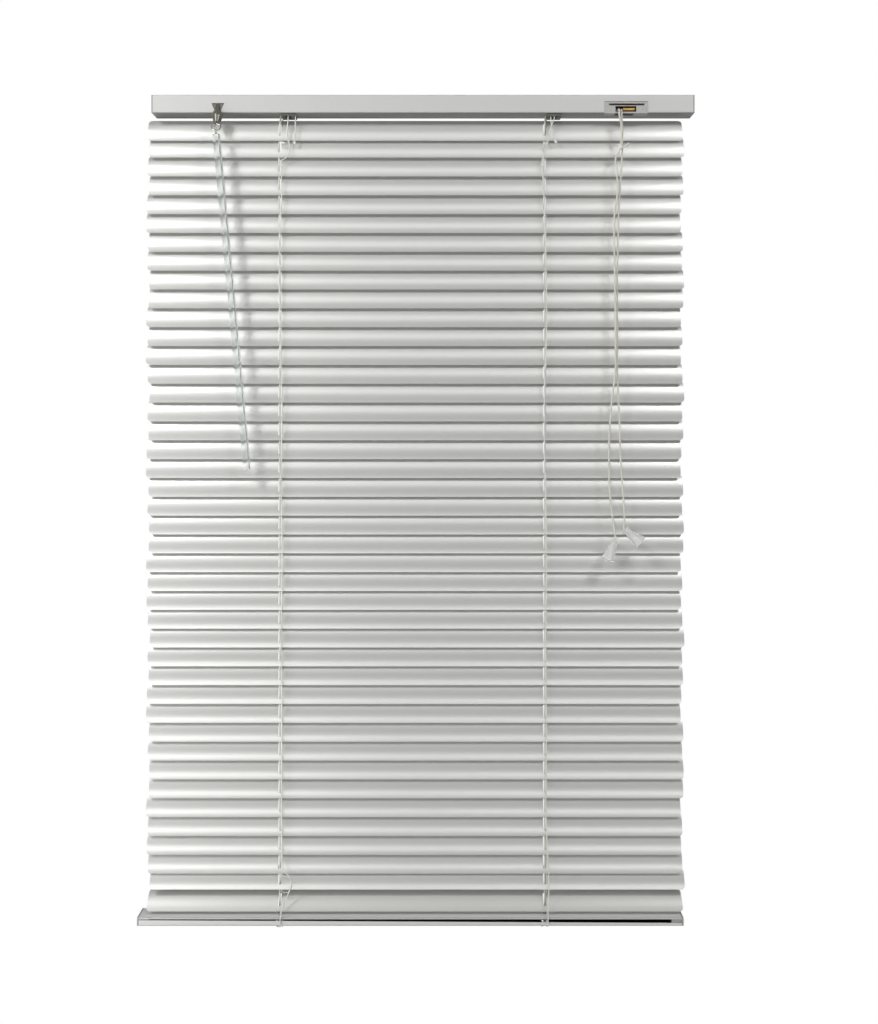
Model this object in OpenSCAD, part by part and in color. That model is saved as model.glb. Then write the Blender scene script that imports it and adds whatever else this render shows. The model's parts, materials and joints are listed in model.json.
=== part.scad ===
// Horizontal slat blind. A steel head rail carries a wand tilter, two ladder cradles and a cord
// lock. Curved slats hang in two string ladders above a level bottom rail, and two lift cords
// run from the bottom rail through the slats and the head rail to their tassels.
// Millimetres. Origin: centre of the head rail's back face. +X right seen from the room,
// +Y to the window, +Z up. The slats are drawn closed, with their front edges down.

/* [Head rail] */
// Length of the steel channel
head_rail_len = 597; // [560:1:700]
// Depth of the channel, front to back
head_rail_depth = 25.4; // [25:0.2:28]
// Height of the channel
head_rail_height = 20; // [20:0.5:24]
// Sheet thickness of the channel
head_rail_wall = 0.7; // [0.5:0.1:0.9]
// Width of the lips turned inward along the open top
head_rail_lip = 4; // [2:0.5:5]
// Thickness of the end caps' plates
cap_plate = 1.5; // [1:0.1:3]
// Distance of the tilter's stem from the channel's left end
tilter_inset = 72; // [60:0.5:85]
// Distance of the cord lock's middle from the channel's right end
lock_inset = 74; // [65:0.5:85]

/* [Slats] */
// Length of a slat
slat_len = 596; // [560:1:640]
// Width of a slat across its chord
slat_width = 25; // [24:0.1:25.4]
// Height of a slat's crown
slat_crown = 2; // [1.6:0.1:2.1]
// Sheet thickness of a slat
slat_thick = 0.4; // [0.3:0.05:0.5]
// Radius of the slat corners
slat_corner = 4; // [1:0.5:6]
// Spacing of the slats
slat_pitch = 21; // [20:0.1:21.5]
// Tilt of the closed slats from level
slat_tilt = 73; // [66:0.5:73]
// Tilt of the slat above the last one, in degrees from level
low_tilt = 66; // [55:1:70]
// Tilt of the last slat, which lies flatter over the bottom rail
last_tilt = 45; // [25:1:50]
// How far the slat above the last one rides up
low_rise = 3.5; // [0:0.5:5]
// Extra drop of the first slat below the head rail
first_drop = 2.3; // [1.5:0.1:4]
// Drop of the evenly spaced stack below the head rail
stack_drop = 13.5; // [13:0.5:16]
// Sideways set of the slat stack
slat_set = -9; // [-12:1:12]
// How far single slats have wandered sideways
slat_scatter = 2.5; // [0:0.5:4]
// Length of a cord slot across the slat
slot_len = 14; // [14:0.5:16]
// Width of a cord slot along the slat
slot_width = 3.2; // [3:0.1:5]

/* [Ladders and cords] */
// Distance between the two ladders
ladder_span = 295.5; // [260:0.5:310]
// Sideways set of the ladders and the cord slots, which hang a little to the left
ladder_set = -12.2; // [-16:0.2:16]
// Sideways set of the ladder cradles in the head rail
cradle_set = -2; // [-12:0.5:12]
// How far a ladder's strings hang beside its lift cord
string_side = 2.5; // [2:0.1:4]
// Diameter of a ladder string
string_d = 1; // [0.8:0.1:1.2]
// Diameter of a ladder rung
rung_d = 0.7; // [0.5:0.1:0.9]
// Diameter of a lift cord
cord_d = 1.5; // [1.2:0.1:1.6]
// Length of a tassel
tassel_len = 22; // [18:1:26]
// Diameter of a tassel's mouth
tassel_d = 15; // [12:0.5:16]

/* [Tilt drive] */
// Tilt rod, across its flats
rod_af = 5.5; // [4.5:0.1:6]
// Diameter of a ladder drum
drum_d = 11.5; // [10.5:0.1:11.6]
// Teeth of the worm gear
gear_teeth = 12; // [11:1:12]
// Axial pitch of the worm's thread
thread_pitch = 2.8; // [2.6:0.05:2.85]
// Lean of the stem out of the rail, from upright
stem_lean = 25; // [22:0.5:27]
// Diameter of the stem's barrel below the rail
stem_d = 11; // [9:0.5:11.5]
// Length of the thick stem below the rail
stem_len = 14; // [12:0.5:16]
// Length of the barrel, down to its taper
stem_barrel = 6; // [4:0.5:9]
// Diameter of the taper's lower end
stem_tip = 7; // [5:0.5:9]
// Wand, across its flats
wand_af = 7.5; // [6.5:0.1:8]
// Distance of the wand's shoulder below its eye
wand_shoulder = 4.5; // [4:0.5:9]
// Length of the wand below its eye
wand_len = 373; // [250:1:450]
// Lean of the hanging wand to the right
wand_lean = 5.2; // [0:0.1:6]
// Lean of the hanging wand towards the slats
wand_tuck = 0.7; // [0:0.1:0.8]

/* [Bottom rail] */
// Length of the bottom rail
bottom_rail_len = 600; // [560:1:640]
// Depth of the bottom rail
bottom_rail_depth = 25.4; // [25:0.2:27]
// Height of the bottom rail
bottom_rail_height = 9.5; // [8.5:0.5:12]
// Sheet thickness of the bottom rail
bottom_rail_wall = 0.8; // [0.6:0.1:1]
// Sideways set of the bottom rail
bottom_rail_set = -14; // [-16:1:16]
// Drop of the bottom rail below the last slat's axis
bottom_rail_drop = 14.7; // [14:0.1:18]
// Height of the open seam at its left end
seam_left = 1.2; // [0.8:0.1:2]
// Height of the open seam at its right end
seam_right = 4.2; // [2:0.1:5]
// Diameter of a cord button
button_d = 14; // [12:0.5:16]
// How far a cord button stands out below the rail
button_drop = 4.5; // [3:0.5:6]

/* [Fits] */
// Clearance of pieces that are pushed together
fit_gap = 0.15; // [0.1:0.05:0.3]
// Clearance of pieces that turn or slide
run_gap = 0.35; // [0.3:0.05:0.5]
// Distance of cords and strings from what they lie against
lay_gap = 0.4; // [0.3:0.05:0.45]

/* [Hidden] */
$fn = 64;
slat_count = 42;
mid_y = -head_rail_depth / 2;
front_y = -head_rail_depth;
floor_z = -head_rail_height / 2 + head_rail_wall;
rail_base_z = -head_rail_height / 2;
ladder_x = [ladder_set - ladder_span / 2, ladder_set + ladder_span / 2];
cradle_x = [cradle_set - ladder_span / 2, cradle_set + ladder_span / 2];
tilter_x = tilter_inset - head_rail_len / 2;
lock_x = head_rail_len / 2 - lock_inset;

// Slats: arc radius, tilt and height of each
slat_r = (pow(slat_width / 2, 2) + pow(slat_crown, 2)) / (2 * slat_crown);
function tilt_of(i) = i == slat_count - 1 ? last_tilt : i == slat_count - 2 ? low_tilt : slat_tilt;
function rise_of(i) = i == 0 ? -first_drop : i == slat_count - 2 ? low_rise : 0;
function slat_z(i) = rail_base_z - stack_drop - slat_pitch * i + rise_of(i);
function wander(i) = slat_scatter * sin(97 * i) * cos(41 * i);
function slat_name(i) = str("slat_", i < 9 ? "0" : "", i + 1);
// A point of slat i, u across from its axis and w above its crown, as [y, z]
function on_slat(i, u, w) = [mid_y + u * cos(tilt_of(i)) - w * sin(tilt_of(i)),
    slat_z(i) + u * sin(tilt_of(i)) + w * cos(tilt_of(i))];

// Bottom rail
bottom_top_z = slat_z(slat_count - 1) - bottom_rail_drop;
bottom_z = bottom_top_z - bottom_rail_height;
bottom_front_y = mid_y - bottom_rail_depth / 2;
plug_len = 11;

// Tilt drive: gear on the rod, worm in front of it on the leaning stem
tooth = 0.8;
gear_r = gear_teeth * thread_pitch / (2 * 180 / 57.29578);
worm_r = 2;
mesh_gap = 0.45;
gear_half = 2;
gear_hub_r = 4;
drive_distance = gear_r + worm_r + mesh_gap;
worm_y = mid_y - drive_distance * cos(stem_lean);
worm_z = drive_distance * sin(stem_lean);
worm_top = 4.2;
neck_r = 2.5;
function along_stem(s) = [tilter_x, worm_y - s * sin(stem_lean), worm_z - s * cos(stem_lean)];
// Where the thick stem starts: just clear of the rail's lower front corner
stem_start = (worm_y - front_y) * sin(stem_lean) + (worm_z - rail_base_z) * cos(stem_lean) + 0.6;
stem_end = stem_start + stem_len;
hook_d = 1.6;
hook_r = 5;
hook_end = stem_end + 10.5;
wand_top = along_stem(hook_end);
wand_eye = 3.6;
wand_tab = 1.2;
housing_half = 9;
housing_front_y = front_y + head_rail_wall + fit_gap;
housing_back_y = mid_y + gear_r + tooth + 3;
housing_top_z = head_rail_height / 2 - head_rail_wall - 0.4;
notch_half = 7;
notch_foot = neck_r + 0.9;
notch_top_z = 0.6;

// Ladder cradles and drums
hub_r = 4.2;
cheek_in = 6.2;
cheek = 1.6;
cradle_half = 10;
cradle_deep = 11;
cradle_base = 1.2;
boss_half = 8;
boss_deep = 10;
boss_drop = 2;
cheek_deep = 8.5;
cheek_top = 2;
arch_half = 5.5;
arch_top = hub_r + 1.6;
throat_half = 3.2;
throat_front = 7.5;
throat_back = 8.5;
drum_half = 5.4;
run_z = floor_z + cradle_base + lay_gap + cord_d / 2;
run_y = [mid_y - 2.5, mid_y + 2.5];
string_front_y = mid_y - drum_d / 2 - lay_gap - string_d / 2;
string_back_y = mid_y + drum_d / 2 + lay_gap + string_d / 2;

// Cord lock
lock_left = lock_x - 24;
lock_right = lock_x + 24;
lock_top_z = 2.2;
window_left = lock_x - 12;
window_right = lock_x + 11;
window_top_z = -3;
eyebrow = 2.2;
bezel = 0.8;
roller_d = 5.4;
roller_left = lock_x - 3.2;
roller_len = 13;
roller_y = front_y + 4.2;
roller_z = floor_z + 1 + roller_d / 2 + run_gap;
ramp = 20;
roller_travel = 3;

// Free stretch of each lift cord, from the lock's window down to its tassel, as [x, z]. The left
// one hangs in front of the right one.
pull_y = front_y - bezel - 0.6 - cord_d / 2;
cord_step = cord_d + 2 * lay_gap;
cord_exit = [-8.6, -5.4];
PULL = [
    [[-5.7, -30], [-6.8, -52], [-7.9, -68], [-10, -107], [-13.2, -126], [-13.8, -145],
        [-12.3, -173], [-11.2, -206], [-11.2, -250], [-11.7, -272], [-12.8, -296],
        [-16.6, -327], [-18.9, -355], [-19.9, -377], [-19.8, -400], [-19.4, -422],
        [-17.6, -444], [-14.4, -468]],
    [[-4.6, -30], [-5.7, -52], [-6.8, -68], [-7.9, -107], [-8.9, -126], [-9.2, -145],
        [-10, -173], [-10.2, -206], [-10.2, -250], [-10.6, -272], [-10.4, -296],
        [-9, -327], [-7.6, -355], [-7.2, -377], [-6.6, -393], [-5.1, -415], [-3, -443],
        [-2.4, -460]]];
tassel_top = [[lock_x - 13.9, -32.5, -482.7], [lock_x - 2.4, -32.5, -469.5]];
tassel_turn = [[-6, 22.6, 0], [-6, -49.8, 0]];
function tassel_way(k) = let (a = tassel_turn[k][0], b = tassel_turn[k][1])
    [-cos(a) * sin(b), sin(a), -cos(a) * cos(b)];

// Sweep of a round section along points, its first ring turned by ref
function unit(v) = v / norm(v);
function tangent(p, i) = unit(p[min(i + 1, len(p) - 1)] - p[max(i - 1, 0)]);
function carried(n, t) = unit(n - (n * t) * t);
function carry(p, i, n) = i == len(p) ? [] :
    let (m = carried(n, tangent(p, i))) concat([m], carry(p, i + 1, m));

module tube(path, d, ref, sides = 8) {
    last = len(path) - 1;
    side_of = carry(path, 0, ref);
    points = [for (i = [0 : last], k = [0 : sides - 1])
        let (a = 360 * k / sides, up = cross(tangent(path, i), side_of[i]))
        path[i] + d / 2 * (cos(a) * side_of[i] + sin(a) * up)];
    skin = [for (i = [0 : last - 1], k = [0 : sides - 1], half = [0, 1])
        let (a = i * sides + k, b = i * sides + (k + 1) % sides)
        half == 0 ? [a, a + sides, b + sides] : [a, b + sides, b]];
    start_cap = [[for (k = [0 : sides - 1]) k]];
    end_cap = [[for (k = [sides - 1 : -1 : 0]) last * sides + k]];
    polyhedron(points, concat(skin, start_cap, end_cap));
}

// Section in the YZ plane, drawn out along X and centred
module along_x(len) {
    translate([-len / 2, 0, 0])
        rotate([90, 0, 90])
            linear_extrude(len)
                children();
}

// Rectangle with round corners, from its lower left corner
module round_rect(w, h, r) {
    translate([r, 0])
        square([w - 2 * r, h]);
    translate([0, r])
        square([w, h - 2 * r]);
    for (x = [r, w - r], y = [r, h - r])
        translate([x, y])
            circle(r);
}

module box(from, to) {
    translate(from)
        cube(to - from);
}

// Round bar along X from x0 to x1, on an axis at [y, z]
module bar_x(x0, x1, at, r) {
    translate([x0, at[0], at[1]])
        rotate([0, 90, 0])
            cylinder(r = r, h = x1 - x0);
}

module head_rail() {
    wall = head_rail_wall;
    color("gainsboro")
        difference() {
            along_x(head_rail_len)
                difference() {
                    translate([front_y, rail_base_z])
                        round_rect(head_rail_depth, head_rail_height, 1.4);
                    translate([front_y + wall, floor_z])
                        round_rect(head_rail_depth - 2 * wall, head_rail_height - 2 * wall, 0.7);
                    translate([front_y + head_rail_lip, 0])
                        square([head_rail_depth - 2 * head_rail_lip, head_rail_height]);
                }
            for (x = cradle_x)
                box([x - boss_half - fit_gap, mid_y - boss_deep - fit_gap, rail_base_z - 1],
                    [x + boss_half + fit_gap, mid_y + boss_deep + fit_gap, floor_z + 1]);
            // notch for the tilter's stem, wide at its top
            translate([tilter_x, front_y + 4, 0])
                rotate([90, 0, 0])
                    linear_extrude(5)
                        polygon([[-notch_foot, rail_base_z - 1], [notch_foot, rail_base_z - 1],
                            [notch_foot, rail_base_z + 2], [notch_half, notch_top_z],
                            [-notch_half, notch_top_z], [-notch_foot, rail_base_z + 2]]);
            box([lock_left + 2, front_y - 1, rail_base_z - 1],
                [lock_right - 2, front_y + 6, lock_top_z - 2]);
        }
}

module head_rail_end_caps() {
    gap = head_rail_wall + fit_gap;
    color("gray")
        for (side = [-1, 1])
            translate([side * head_rail_len / 2, 0, 0]) {
                translate([side * cap_plate / 2, 0, 0])
                    along_x(cap_plate)
                        translate([front_y, rail_base_z])
                            round_rect(head_rail_depth, head_rail_height, 1.4);
                translate([-side * 3, 0, 0])
                    along_x(6)
                        translate([front_y + gap, rail_base_z + gap])
                            round_rect(head_rail_depth - 2 * gap, head_rail_height - 2 * gap, 0.9);
            }
}

module ladder_cradles() {
    seat = hub_r + run_gap;
    past = 2 * cradle_half;
    color("whitesmoke")
        for (x = cradle_x)
            translate([x, mid_y, 0])
                difference() {
                    union() {
                        box([-cradle_half, -cradle_deep, floor_z],
                            [cradle_half, cradle_deep, floor_z + cradle_base]);
                        box([-boss_half, -boss_deep, rail_base_z - boss_drop],
                            [boss_half, boss_deep, floor_z + cradle_base / 2]);
                        for (side = [-1, 1])
                            translate([side * (cheek_in + cheek / 2), 0, 0])
                                box([-cheek / 2, -cheek_deep, floor_z], [cheek / 2, cheek_deep, cheek_top]);
                    }
                    // running seat for the drum's hubs, open at the top
                    bar_x(-past, past, [0, 0], seat);
                    box([-past, -seat, 0], [past, seat, past]);
                    // arch for the lift cords that run along the rail
                    box([-past, -arch_half, floor_z + cradle_base], [past, arch_half, -arch_top]);
                    // throat for the strings and the lift cord
                    box([-throat_half, -throat_front, rail_base_z - boss_drop - 1],
                        [throat_half, throat_back, floor_z + cradle_base + 1]);
                }
}

module ladder_drums() {
    color("white")
        for (x = cradle_x)
            difference() {
                union() {
                    bar_x(x - drum_half, x + drum_half, [mid_y, 0], drum_d / 2);
                    bar_x(x - cheek_in - cheek - 1, x + cheek_in + cheek + 1, [mid_y, 0], hub_r);
                }
                hex_bore(x - 20, x + 20);
            }
}

// Bore that slides over the tilt rod
module hex_bore(x0, x1) {
    translate([x0, mid_y, 0])
        rotate([0, 90, 0])
            cylinder(r = rod_af / sqrt(3) + fit_gap, h = x1 - x0, $fn = 6);
}

module tilt_rod() {
    color("silver")
        translate([tilter_x - housing_half - 1, mid_y, 0])
            rotate([0, 90, 0])
                cylinder(r = rod_af / sqrt(3), h = cradle_x[1] + 12 + housing_half - tilter_x, $fn = 6);
}

// Frame of the stem: +Z up its axis, the gear on its +Y side
module on_stem() {
    translate([tilter_x, worm_y, worm_z])
        rotate([-stem_lean, 0, 0])
            children();
}

module tilter_housing() {
    color("lightgray")
        difference() {
            box([tilter_x - housing_half, housing_front_y, floor_z],
                [tilter_x + housing_half, housing_back_y, housing_top_z]);
            bar_x(tilter_x - gear_half - run_gap, tilter_x + gear_half + run_gap, [mid_y, 0],
                gear_r + tooth + run_gap);
            bar_x(tilter_x - 20, tilter_x + 20, [mid_y, 0], gear_hub_r + run_gap);
            on_stem()
                translate([0, 0, -6 - run_gap])
                    cylinder(r = worm_r + tooth + run_gap, h = 6 + worm_top + 1.5 + 2 * run_gap);
            on_stem()
                translate([0, 0, -2 * head_rail_height])
                    cylinder(r = neck_r + run_gap, h = 2 * head_rail_height);
        }
}

module tilter_gear() {
    steps = 8 * gear_teeth;
    color("white")
        difference() {
            union() {
                translate([tilter_x, mid_y, 0])
                    along_x(2 * gear_half)
                        polygon([for (k = [0 : steps - 1])
                            let (a = 360 * k / steps, facing = a - (180 - stem_lean))
                            (gear_r - tooth * cos(gear_teeth * facing)) * [cos(a), sin(a)]]);
                bar_x(tilter_x - housing_half - 0.6, tilter_x + housing_half + 0.6, [mid_y, 0],
                    gear_hub_r);
            }
            hex_bore(tilter_x - 20, tilter_x + 20);
        }
}

module tilter_worm() {
    thread = worm_top + 5;
    color("whitesmoke")
        on_stem()
            difference() {
                union() {
                    // round thread, its crest to the gear level with the gear's axis
                    translate([0, 0, -5])
                        rotate([0, 0, 90 - 360 * 5 / thread_pitch])
                            linear_extrude(thread, twist = -360 * thread / thread_pitch, slices = 36)
                                translate([tooth, 0])
                                    circle(worm_r, $fn = 14);
                    translate([0, 0, worm_top - 0.4])
                        cylinder(r = 1, h = 1.9);
                    translate([0, 0, -stem_start])
                        cylinder(r = neck_r, h = stem_start - 4.6);
                    rotate_extrude()
                        polygon([[0, -stem_start], [stem_d / 2 - 1, -stem_start],
                            [stem_d / 2, -stem_start - 1], [stem_d / 2, -stem_start - stem_barrel],
                            [stem_tip / 2, -stem_end], [0, -stem_end]]);
                }
                // socket for the hook's shank
                translate([0, 0, -stem_end - 1])
                    cylinder(d = hook_d + 2 * fit_gap, h = 8);
            }
}

module wand_hook() {
    bowl = hook_end - hook_r;
    path = concat(
        [[0, 0, -stem_end + 6], [0, 0, -stem_end - 0.6], [1.4, 0, -stem_end - 1.8],
            [3.6, 0, -stem_end - 3], [hook_r - 0.2, 0, -stem_end - 4.4]],
        [for (a = [0 : 20 : 180]) [hook_r * cos(a), 0, -bowl - hook_r * sin(a)]],
        [[-hook_r - 0.5, 0, -bowl + 1.6]]);
    color("silver")
        on_stem()
            tube(path, hook_d, [0, 1, 0]);
}

module wand() {
    color("aliceblue")
        translate(wand_top)
            rotate([wand_tuck, -wand_lean, 0])
                difference() {
                    union() {
                        translate([0, 0, -wand_len])
                            rotate([0, 0, 30])
                                cylinder(r = wand_af / sqrt(3), h = wand_len - wand_shoulder, $fn = 6);
                        box([-wand_tab / 2, -3.6, -12], [wand_tab / 2, 3.6, 2.8]);
                        bar_x(-wand_tab / 2, wand_tab / 2, [0, 0], 4.5);
                    }
                    bar_x(-5, 5, [0, 0], wand_eye / 2);
                }
}

module cord_lock_housing() {
    color("silver")
        difference() {
            union() {
                box([lock_left + 2 + fit_gap, front_y - bezel, floor_z],
                    [lock_right - 2 - fit_gap, front_y + 2, lock_top_z - 2 - fit_gap]);
                box([lock_left + 1, front_y + head_rail_wall + fit_gap, floor_z],
                    [lock_right - 1, front_y + 20, 5]);
                // bezel on the rail's front face, turned under its base
                box([lock_left, front_y - bezel - 0.1, rail_base_z - bezel],
                    [lock_right, front_y - 0.1, lock_top_z]);
                box([lock_left, front_y - bezel - 0.1, rail_base_z - bezel],
                    [lock_right, front_y + 9, rail_base_z - 0.1]);
                box([lock_left + 2 + fit_gap, front_y - bezel, rail_base_z - 0.5],
                    [lock_right - 2 - fit_gap, front_y + 6 - fit_gap, floor_z + 0.5]);
            }
            // window for the cords and the roller
            box([window_left, front_y - 5, floor_z + 0.1], [window_right, front_y + 3, window_top_z]);
            // slot above the window, where the bezel is lanced
            box([lock_left + 5, front_y - 5, window_top_z + 0.8],
                [lock_right - 4, front_y + 1.6, window_top_z + 0.8 + eyebrow]);
            // channel for the cords, from the left
            box([lock_left - 5, front_y + 2, floor_z + 0.8], [roller_left - 0.2, front_y + 17, -2.5]);
            // ramp that the roller runs up, between its cheeks
            translate([0, roller_y, roller_z])
                rotate([ramp, 0, 0])
                    box([roller_left - run_gap, -roller_d / 2 - run_gap, -roller_d / 2 - run_gap],
                        [roller_left + roller_len + run_gap, roller_d / 2 + roller_travel + 0.6,
                            roller_d / 2 + run_gap]);
        }
}

module cord_lock_roller() {
    color("goldenrod")
        bar_x(roller_left, roller_left + roller_len, [roller_y, roller_z], roller_d / 2);
}

// Route of one lift cord: up from its button, along the rail, out of the lock and down
function cord_route(k) = let (
        low_x = ladder_x[k], x = cradle_x[k], bend = 3, start = x + bend + 5,
        low = bottom_z - button_drop + 2, knee = slat_z(0) + 5.5,
        gate = lock_x - 26, out = lock_x + cord_exit[k], y = pull_y - (1 - k) * cord_step)
    concat(
        [[low_x, mid_y, low], [low_x, mid_y, knee - 1.5], [low_x + 0.12 * (x - low_x), mid_y, knee]],
        [[x - 0.12 * (x - low_x), mid_y, rail_base_z - 1.4], [x, mid_y, rail_base_z]],
        [[x, mid_y, run_z - bend]],
        [for (a = [30, 60]) [x + bend * (1 - cos(a)), mid_y, run_z - bend * (1 - sin(a))]],
        [[x + bend, mid_y, run_z], [start, mid_y, run_z]],
        [[start + (gate - start) * 0.3, run_y[k], run_z], [gate, run_y[k], run_z]],
        [[lock_x - 17, run_y[k] - 1.5, run_z], [out - 4, front_y + 6.5, run_z]],
        [[out - 1, front_y + 3.5, run_z], [out, front_y, run_z]],
        [[out, y + 1, run_z - 0.3], [out, y, run_z - 2.2], [out, y, run_z - 6]],
        [for (p = PULL[k]) [lock_x + p[0], y, p[1]]],
        [tassel_top[k] - 2 * tassel_way(k), tassel_top[k] + 3.5 * tassel_way(k)]);

module lift_cords() {
    color("ivory")
        for (k = [0, 1])
            tube(cord_route(k), cord_d, [1, 0, 0]);
}

module tassels() {
    outer = [[0, 0], [3.4, 0], [4, -2], [4.4, -7], [tassel_d / 2, -tassel_len], [0, -tassel_len]];
    inner = [[0, -4], [2.6, -4], [3.2, -8], [tassel_d / 2 - 1.2, -tassel_len - 0.1],
        [0, -tassel_len - 0.1]];
    color("azure")
        for (k = [0, 1])
            translate(tassel_top[k])
                rotate(tassel_turn[k])
                    difference() {
                        rotate_extrude()
                            polygon(outer);
                        rotate_extrude()
                            polygon(inner);
                        translate([0, 0, -6])
                            cylinder(d = cord_d + 2 * lay_gap, h = 10);
                    }
}

// Slats: how far slat i reaches to the front, and its strings' places beside it
reach = slat_thick / 2 + lay_gap + string_d / 2;
function front_of(i) = min(on_slat(i, -slat_width / 2, -slat_crown)[0],
    mid_y + slat_r * sin(tilt_of(i)) - slat_r) - reach;
function back_of(i) = on_slat(i, slat_width / 2, -slat_crown)[0] + reach;
function front_edge_z(i) = on_slat(i, -slat_width / 2, -slat_crown)[1];
function back_edge_z(i) = on_slat(i, slat_width / 2, -slat_crown)[1];

function front_string(k) = let (n = slat_count, x = ladder_x[k] + string_side, top = cradle_x[k]) concat(
    [[top, string_front_y, 0], [top, string_front_y, -3], [top, front_of(0), rail_base_z - 4]],
    [[x, front_of(0), slat_z(0) - 8], [x, front_of(0), slat_z(n - 3)]],
    [for (i = [n - 3 : n - 1]) [x, front_of(i) - (i < n - 1 ? 0 : 0.6), front_edge_z(i) - 1]],
    [[x, bottom_front_y - lay_gap - string_d / 2, bottom_top_z - 0.4]],
    [[x, bottom_front_y - lay_gap - string_d / 2, bottom_z + 1.5]]);

function back_string(k) = let (n = slat_count, x = ladder_x[k] + string_side, top = cradle_x[k]) concat(
    [[top, string_back_y, 0], [top, string_back_y, -4], [top, back_of(0), rail_base_z - 1]],
    [[x, back_of(0), slat_z(0) + 6]],
    [for (i = [n - 3 : n - 1]) [x, back_of(i), back_edge_z(i) + 2]],
    [[x, mid_y + 9.5, bottom_top_z - bottom_rail_wall - 1]]);

// One rung: from the front string under slat i's edges to the back string, past the lift cord
module rung(x, i) {
    pass = i % 2 == 0 ? 1.9 : -1.9;
    under = -slat_crown - slat_thick / 2 - lay_gap - rung_d / 2;
    near = on_slat(i, -slat_width / 2 - 0.4, under);
    far = on_slat(i, slat_width / 2 - 0.4, under);
    strut([x + string_side, front_of(i), near[1] - 0.6], [x + pass, near[0], near[1]]);
    strut([x + pass, near[0], near[1]], [x + pass, far[0], far[1]]);
    strut([x + pass, far[0], far[1]], [x + string_side, back_of(i), far[1] + 0.8]);
}

module strut(a, b) {
    v = b - a;
    translate(a)
        rotate([0, acos(v[2] / norm(v)), atan2(v[1], v[0])])
            translate([0, 0, -rung_d / 3])
                cylinder(d = rung_d, h = norm(v) + rung_d * 2 / 3, $fn = 6);
}

module ladders() {
    color("white")
        for (k = [0, 1])
            union() {
                tube(front_string(k), string_d, [1, 0, 0]);
                tube(back_string(k), string_d, [1, 0, 0]);
                for (i = [0 : slat_count - 1])
                    rung(ladder_x[k], i);
            }
}

module bottom_rail() {
    wall = bottom_rail_wall;
    left = bottom_rail_set - bottom_rail_len / 2;
    right = bottom_rail_set + bottom_rail_len / 2;
    seam_top = bottom_top_z - 1.6;
    color("gainsboro")
        difference() {
            translate([bottom_rail_set, 0, 0])
                along_x(bottom_rail_len)
                    difference() {
                        translate([bottom_front_y, bottom_z])
                            round_rect(bottom_rail_depth, bottom_rail_height, 2);
                        translate([bottom_front_y + wall, bottom_z + wall])
                            round_rect(bottom_rail_depth - 2 * wall, bottom_rail_height - 2 * wall,
                                1.2);
                    }
            // open seam along the front, wider to the right
            translate([0, bottom_front_y + 4, 0])
                rotate([90, 0, 0])
                    linear_extrude(8)
                        polygon([[left - 1, seam_top], [right + 1, seam_top],
                            [right + 1, seam_top - seam_right], [left - 1, seam_top - seam_left]]);
            for (x = ladder_x) {
                translate([x, mid_y, bottom_z + 3])
                    cylinder(d = cord_d + 2.4, h = 20);
                translate([x + string_side, mid_y + 9.5, bottom_z + 3])
                    cylinder(d = string_d + 2 * lay_gap, h = 20);
                translate([x, mid_y, bottom_z - 1])
                    cylinder(d = button_d - 6 + 2 * fit_gap, h = 4);
            }
        }
}

module bottom_rail_caps() {
    gap = bottom_rail_wall + fit_gap;
    color("gray")
        for (side = [-1, 1])
            translate([bottom_rail_set + side * bottom_rail_len / 2, 0, 0]) {
                translate([side, 0, 0])
                    along_x(2)
                        translate([bottom_front_y, bottom_z])
                            round_rect(bottom_rail_depth, bottom_rail_height, 2);
                translate([-side * plug_len / 2, 0, 0])
                    along_x(plug_len)
                        translate([bottom_front_y + gap, bottom_z + gap])
                            round_rect(bottom_rail_depth - 2 * gap, bottom_rail_height - 2 * gap, 1.2);
            }
}

module cord_buttons() {
    color("azure")
        for (x = ladder_x)
            translate([x, mid_y, bottom_z])
                difference() {
                    union() {
                        translate([0, 0, -button_drop])
                            cylinder(d1 = button_d - 4, d2 = button_d, h = button_drop - 0.1);
                        cylinder(d = button_d - 6, h = 2 * (button_drop - 0.1), center = true);
                    }
                    translate([0, 0, -20])
                        cylinder(d = cord_d + 2 * lay_gap, h = 40);
                    translate([0, 0, -button_drop - 1])
                        cylinder(d = 4.4, h = 3);
                }
}

module slat(i) {
    half = slat_len / 2;
    color("whitesmoke")
        translate([0, mid_y, slat_z(i)])
            rotate([tilt_of(i), 0, 0])
                difference() {
                    translate([slat_set + wander(i), 0, 0])
                        intersection() {
                            along_x(slat_len)
                                difference() {
                                    translate([0, -slat_r])
                                        circle(slat_r + slat_thick / 2);
                                    translate([0, -slat_r])
                                        circle(slat_r - slat_thick / 2);
                                }
                            translate([-half, -slat_width / 2, -slat_crown - 2])
                                linear_extrude(slat_crown + 4)
                                    round_rect(slat_len, slat_width, slat_corner);
                        }
                    for (x = ladder_x)
                        box([x - slot_width / 2, -slot_len / 2, -5], [x + slot_width / 2, slot_len / 2, 5]);
                }
}

head_rail();
head_rail_end_caps();
ladder_cradles();
ladder_drums();
tilt_rod();
tilter_housing();
tilter_gear();
tilter_worm();
wand_hook();
wand();
cord_lock_housing();
cord_lock_roller();
lift_cords();
tassels();
ladders();
bottom_rail();
bottom_rail_caps();
cord_buttons();
for (i = [0 : slat_count - 1])
    slat(i);
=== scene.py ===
"""Looks of the horizontal slat blind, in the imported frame.

Metres, with +X to the right, +Y to the window and +Z up.
"""

import json
import math

import bmesh
import bpy
from mathutils import Matrix, Vector


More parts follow.
